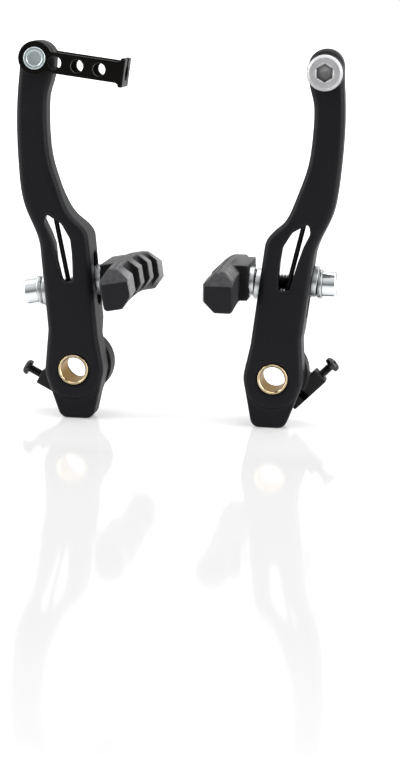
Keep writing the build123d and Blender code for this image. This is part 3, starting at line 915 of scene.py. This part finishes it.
rivetSize = turnedSize("left_link_pin", front)
rivetLow, rivetHigh, rivetHead = rivetSize["low"], rivetSize["high"], rivetSize["outer"]
rivetCorners = [
    (rivetHigh - rivet["dish"] * rivet["dishMiddleShare"], 0.0),
    (rivetHigh - rivet["dish"], rivet["dishRadius"] * rivet["dishFloorShare"]),
    (rivetHigh, rivet["dishRadius"]),
    (rivetHigh, rivetHead - rivet["domed"]),
    (rivetHigh - rivet["domed"], rivetHead),
    (rivetHigh - rivet["headHeight"], rivetHead),
    (rivetHigh - rivet["headHeight"], rivet["shank"]),
    (rivetLow + rivet["headHeight"], rivet["shank"]),
    (rivetLow + rivet["headHeight"], rivetHead),
    (rivetLow + rivet["domed"], rivetHead * rivet["backShoulderShare"]),
    (rivetLow, rivetHead * rivet["backTopShare"]),
    (rivetLow, 0.0),
]
rivetRings = turnedRings(softCorners(rivetCorners, rivet["edge"], closed=False))
showTurned("left_link_pin", "linkRivet", rivetRings, rivetSize["middle"], front, closed=False)
print("rivet turned")


# cable anchor bolt: wide chamfered head with a hexagon socket, M6 shank

anchor = {
    "thread": {"radius": 2.97 * mm, "depth": 0.6 * mm, "pitch": 1.0 * mm, "runOut": 0.4},
    "headHeight": 2.6 * mm,
    "headRadius": 5.75 * mm,
    "chamfer": 0.9 * mm,
    "chamferDropShare": 0.8,
    "socketFlats": 5.0 * mm,
    "socketDepth": 2.3 * mm,
    "mouthShare": 1.1,
    "countersink": 0.4 * mm,
    "drillRadius": 1.5 * mm,
    "drillDepth": 0.8 * mm,
    "pointLength": 0.5 * mm,
    "pointShare": 0.9,
    "edge": 0.2 * mm,
}

anchorMiddle = surfaceMiddle("right_anchor_plate")
anchorMiddle.x, anchorMiddle.z = surfaceMiddle("right_anchor_bolt").xz
anchorSize = turnedSize("right_anchor_bolt", front, anchorMiddle)
anchorHigh = anchorSize["high"]
anchorSeat = anchorHigh - anchor["headHeight"]
anchorFlats = anchor["socketFlats"] / 2
anchorCore = coreOf(anchor["thread"])
anchorFloor = anchorHigh - anchor["socketDepth"]
anchorHead = [
    (anchorSeat, anchorCore),
    (anchorSeat, anchor["headRadius"]),
    (anchorHigh - anchor["chamfer"] * anchor["chamferDropShare"], anchor["headRadius"]),
    (anchorHigh, anchor["headRadius"] - anchor["chamfer"]),
    (anchorHigh, anchorFlats * anchor["mouthShare"] + anchor["countersink"]),
    (anchorHigh - anchor["countersink"], anchorFlats, hexShape),
    (anchorFloor, anchorFlats, hexShape),
    (anchorFloor - anchor["edge"], anchor["drillRadius"]),
    (anchorFloor - anchor["drillDepth"], 0.0),
]
anchorLow = anchorSize["low"]
anchorPoint = anchorCore * anchor["pointShare"]
anchorThreadLow = anchorLow + anchor["pointLength"]
anchorRings = turnedRings([(anchorLow, 0.0, roundShape), (anchorLow, anchorPoint, roundShape)])
anchorRings += threadRings(anchorThreadLow, anchorSeat - anchor["edge"], anchor["thread"])
anchorRings += turnedRings(softCorners(anchorHead, anchor["edge"], closed=False))
showTurned("right_anchor_bolt", "anchorBolt", anchorRings, anchorMiddle, front, closed=False)
print("anchor bolt turned")


# spring pins

pin = {"chamfer": 0.3 * mm, "edge": 0.08 * mm, "steps": 48}

for side in sides:
    node = side + "_spring_pin"
    size = turnedSize(node, front)
    low, high, radius, chamfer = size["low"], size["high"], size["outer"], pin["chamfer"]
    corners = [
        (low, 0.0),
        (low, radius - chamfer),
        (low + chamfer, radius),
        (high - chamfer, radius),
        (high, radius - chamfer),
        (high, 0.0),
    ]
    rings = turnedRings(softCorners(corners, pin["edge"], closed=False), pin["steps"])
    showTurned(node, side + "SpringPin", rings, size["middle"], front, closed=False)
print("spring pins turned")


# return springs: one bent wire each; places are outward, back and up from the arm's pivot, in millimetres

spring = {
    "wire": 0.8,
    "legEnd": (9.403, 6.7, 56.0),
    "legFoot": (1.3, 6.7, 19.6),
    "entry": (-3.1, 13.8, 11.6),
    "legBend": 2.0,
    "loopRadius": 7.9,
    "loopSweep": 158.4,
    "tailBend": 1.6,
    "tailRound": 1.1,
    "tailLength": 2.6,
    "holderTurn": {"left": -9.0, "right": 9.0},
    "followsFrom": 2.0,
    "endInset": 0.15,
    "endShare": 0.82,
    "longestStretch": 1.2,
    "loopSteps": 48,
    "steps": 24,
}


def bentPath(points, radius, count=8, mostOfSide=0.48):
    path = [points[0]]
    for before, corner, after in zip(points, points[1:], points[2:]):
        back, onward = (before - corner).normalized(), (after - corner).normalized()
        half = back.angle(onward) / 2
        shortest = min((before - corner).length, (after - corner).length)
        room = min(radius / math.tan(half), mostOfSide * shortest)
        for step in range(count + 1):
            share = step / count
            first, last = corner + back * room, corner + onward * room
            path.append(first * (1 - share) ** 2 + corner * 2 * share * (1 - share) + last * share ** 2)
    return path + [points[-1]]


def springPath(side):
    leg = [Vector(spring[name]) for name in ("legEnd", "legFoot", "entry")]
    entry = leg[-1]
    radius = spring["loopRadius"]
    begin = math.atan2(entry.z, entry.x) + math.acos(radius / math.hypot(entry.x, entry.z))
    sweep = math.radians(spring["loopSweep"] + spring["holderTurn"][side])
    finish = begin + sweep - spring["tailBend"] / radius

    def onLoop(angle):
        return Vector((radius * math.cos(angle), entry.y, radius * math.sin(angle)))

    knee = onLoop(finish) + Vector((-math.sin(finish), 0, math.cos(finish))) * spring["tailBend"]
    tip = knee + Vector((knee.x, 0, knee.z)).normalized() * spring["tailLength"]
    path = bentPath(leg + [onLoop(begin)], spring["legBend"])[:-1]
    count = spring["loopSteps"]
    path += [onLoop(begin + (finish - begin) * step / count) for step in range(count)]
    return path + bentPath([onLoop(finish), knee, tip], spring["tailRound"])


def finePath(path, longest):  # long straight stretches split into short ones
    fine = [path[0]]
    for first, last in zip(path, path[1:]):
        parts = max(1, math.ceil((last - first).length / longest))
        fine += [first.lerp(last, part / parts) for part in range(1, parts + 1)]
    return fine


def wireRings(path, radius, steps):
    rings = []
    befores, afters = path[:1] + path[:-1], path[1:] + path[-1:]
    ways = [(after - before).normalized() for before, after in zip(befores, afters)]
    across = ways[0].orthogonal().normalized()
    for place, (point, way) in enumerate(zip(path, ways)):
        across = (across - way * across.dot(way)).normalized()
        over = way.cross(across)
        if place in (0, len(path) - 1):  # cut ends, a little rounded
            turn = 1 if place == 0 else -1
            inward = way * spring["endInset"] * radius * turn
            reaches = [(0, 0.0), (0, spring["endShare"]), (1, 1.0)][::turn]
        else:
            inward, reaches = Vector(), [(0, 1.0)]
        for inset, share in reaches:
            ring = []
            for step in range(steps):
                angle = 2 * math.pi * step / steps
                spoke = across * math.cos(angle) + over * math.sin(angle)
                ring.append(point + inward * inset + spoke * radius * share)
            rings.append(ring)
    return rings


for side in sides:
    node = side + "_return_spring"
    path = finePath(springPath(side), spring["longestStretch"])
    sign = outward[side]
    rings = []
    for ring in wireRings(path, spring["wire"], spring["steps"]):
        row = [(sign * (arm["pivot"] + u * mm), d * mm - arm["hubDepth"], w * mm) for u, d, w in ring]
        rings.append(row)
    piece = newPiece(node, side + "ReturnSpring", ringMesh(side + "ReturnSpring", rings, False))
    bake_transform(piece)
print("springs bent")


# camera, from the photograph's own perspective

camera = {
    "place": Vector((0.10209, -0.72801, 0.12921)),
    "heading": 7.386,
    "pitch": -10.25,
    "roll": 1.493,
    "lens": 105.76,
    "sensor": 36,
    "nearest": 0.01,
}


def aimCamera():
    eye = bpy.data.cameras.new("photoCamera")
    eye.lens = camera["lens"]
    eye.sensor_fit = "AUTO"
    eye.sensor_width = camera["sensor"]
    eye.clip_start = camera["nearest"]
    eye.dof.use_dof = False
    holder = bpy.data.objects.new("photoCamera", eye)
    bpy.context.scene.collection.objects.link(holder)
    turn = Matrix.Rotation(math.radians(camera["heading"]), 4, "Z")
    turn = turn @ Matrix.Rotation(math.radians(90 + camera["pitch"]), 4, "X")
    turn = turn @ Matrix.Rotation(math.radians(camera["roll"]), 4, "Z")
    holder.matrix_world = Matrix.Translation(camera["place"]) @ turn
    bpy.context.scene.camera = holder


aimCamera()


# pale floor and soft studio light

studio = {
    "floorSize": 12.0,
    "floorGrain": {"Grain Scale": 900, "Cloud Scale": 6},
    "floorColour": (0.86, 0.86, 0.86),
    "floorMottle": 0.985,
    "outerColour": (0.752, 0.752, 0.752),
    "outerStart": 0.06,
    "outerEnd": 0.24,
    "floorGloss": 0.06,
    "floorSpecular": 0.24,
    "glowStart": 0.05,
    "glowEnd": 0.9,
    "glowPower": 3,
    "behindStart": -0.062,
    "behindEnd": 0.03,
    "behindGlow": 0.41,
    "roomTop": 0.78,
    "roomFront": 0.2,
    "frontFade": (-0.95, 0.1),
    "topFade": (0.15, 0.75),
    "seenWhite": 1.05,
    "lamps": [
        {"name": "topBox", "place": (0.1, 0.2, 1.3), "size": (1.8, 1.4), "power": 11.0},
        {"name": "leftBox", "place": (-1.1, -0.35, 0.5), "size": (0.6, 1.2), "power": 8.0},
        {"name": "rightBox", "place": (1.2, -0.2, 0.5), "size": (0.6, 1.2), "power": 9.0},
    ],
    "aim": Vector((0, 0, 0.04)),
}


def layFloor():
    lowest = cadBounds[0][2]
    mesh = bpy.data.meshes.new("paleFloor")
    half = studio["floorSize"] / 2
    corners = [(-half, -half, lowest), (half, -half, lowest), (half, half, lowest), (-half, half, lowest)]
    mesh.from_pydata(corners, [], [(0, 1, 2, 3)])
    floor = bpy.data.objects.new("paleFloor", mesh)
    bpy.context.scene.collection.objects.link(floor)
    plain = {
        "Specular IOR Level": studio["floorSpecular"],
        "Roughness": studio["floorGloss"],
        "Emission Strength": 1.0,
    }
    material, tree, shader = newMaterial("paleFloor", plain)
    grain = placeGroup(tree, grainGroup, studio["floorGrain"])
    pale = studio["floorColour"]
    mottled = tuple(studio["floorMottle"] * part for part in pale)
    tone = mixColours(tree, grain.outputs["Cloud"], mottled, pale)
    reach = addNode(tree, "ShaderNodeVectorMath", {"Vector": objectPlace(tree)}, operation="LENGTH")
    # painted shade: the floor's colour turns darker away from the middle, evening out the lamps' light there
    outer = between(tree, reach.outputs["Value"], studio["outerStart"], studio["outerEnd"])
    tree.links.new(mixColours(tree, outer, tone, studio["outerColour"]), shader.inputs["Base Color"])
    far = between(tree, reach.outputs["Value"], studio["glowStart"], studio["glowEnd"])
    seen = addNode(tree, "ShaderNodeLightPath").outputs["Is Camera Ray"]
    split = addNode(tree, "ShaderNodeSeparateXYZ", {"Vector": objectPlace(tree)})
    behind = between(tree, split.outputs["Y"], studio["behindStart"], studio["behindEnd"])
    backGlow = combine(tree, "MULTIPLY", behind, studio["behindGlow"])
    allGlow = combine(tree, "ADD", combine(tree, "POWER", far, studio["glowPower"]), backGlow)
    glow = combine(tree, "MULTIPLY", allGlow, seen)
    tree.links.new(mixColours(tree, glow, (0, 0, 0), (1, 1, 1)), shader.inputs["Emission Color"])
    mesh.materials.append(material)


def lightRoom():
    world = bpy.data.worlds.new("softStudio")
    bpy.context.scene.world = world
    world.use_nodes = True
    tree = world.node_tree
    tree.nodes.clear()
    seen = addNode(tree, "ShaderNodeBackground", {"Color": (1, 1, 1, 1), "Strength": studio["seenWhite"]})
    place = addNode(tree, "ShaderNodeTexCoord").outputs["Generated"]
    split = addNode(tree, "ShaderNodeSeparateXYZ", {"Vector": place})
    ahead = between(tree, split.outputs["Y"], *studio["frontFade"])
    high = between(tree, split.outputs["Z"], *studio["topFade"])
    share = combine(tree, "MAXIMUM", ahead, high)
    glow = spread(tree, share, studio["roomFront"], studio["roomTop"])
    room = addNode(tree, "ShaderNodeBackground", {"Color": (1, 1, 1, 1), "Strength": glow})
    path = addNode(tree, "ShaderNodeLightPath")
    values = {0: path.outputs["Is Camera Ray"], 1: room.outputs[0], 2: seen.outputs[0]}
    mix = addNode(tree, "ShaderNodeMixShader", values)
    end = addNode(tree, "ShaderNodeOutputWorld")
    tree.links.new(mix.outputs[0], end.inputs["Surface"])
    for lamp in studio["lamps"]:
        light = bpy.data.lights.new(lamp["name"], "AREA")
        light.shape = "RECTANGLE"
        light.size, light.size_y = lamp["size"]
        light.energy = lamp["power"]
        holder = bpy.data.objects.new(lamp["name"], light)
        bpy.context.scene.collection.objects.link(holder)
        spot = Vector(lamp["place"])
        holder.matrix_world = axisMatrix(spot, spot - studio["aim"])


layFloor()
lightRoom()
bpy.context.scene.view_settings.view_transform = "Standard"
print("camera, floor and light set")
